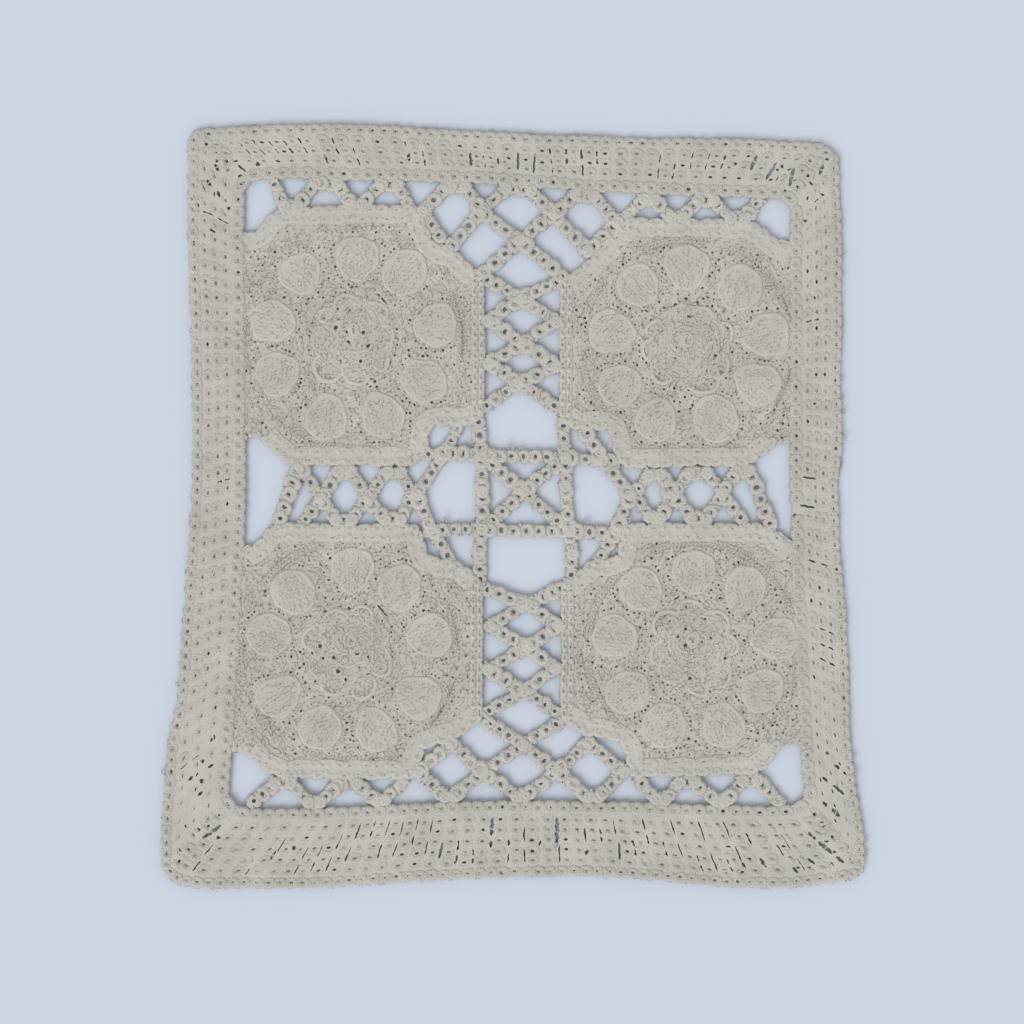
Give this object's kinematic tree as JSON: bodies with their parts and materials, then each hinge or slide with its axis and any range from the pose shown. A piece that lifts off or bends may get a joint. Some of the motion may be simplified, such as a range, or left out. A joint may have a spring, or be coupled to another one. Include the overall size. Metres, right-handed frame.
{
  "type": "crochet patch",
  "caption": "Flat openwork crochet patch: floral medallions joined by a lattice of bars inside a wide stitched border band.",
  "frame": {"origin": "middle of the outline, on the underside that rests on the surface", "axes": "+Z out of the face of the patch, +Y towards its top edge, +X to the right seen from the face"},
  "size_m": [0.1408, 0.1526, 0.0023],
  "materials": {
    "band_thread": "matt ivory cotton thread, close stitch rows",
    "medallion_thread": "matt ivory cotton thread, fine net with raised ovals",
    "bar_thread": "matt ivory cotton thread, looped braid"
  },
  "bodies": {
    "root": {"border_band": "band_thread", "medallion_top_left": "medallion_thread", "medallion_top_right": "medallion_thread", "medallion_bottom_left": "medallion_thread", "medallion_bottom_right": "medallion_thread", "bars_centre": "bar_thread", "bars_top_left": "bar_thread", "bars_top_middle": "bar_thread", "bars_top_right": "bar_thread", "bars_column_top": "bar_thread", "bars_arm_left": "bar_thread", "bars_arm_right": "bar_thread", "bars_column_bottom": "bar_thread", "bars_bottom_left": "bar_thread", "bars_bottom_middle": "bar_thread", "bars_bottom_right": "bar_thread"}
  },
  "joints": []
}
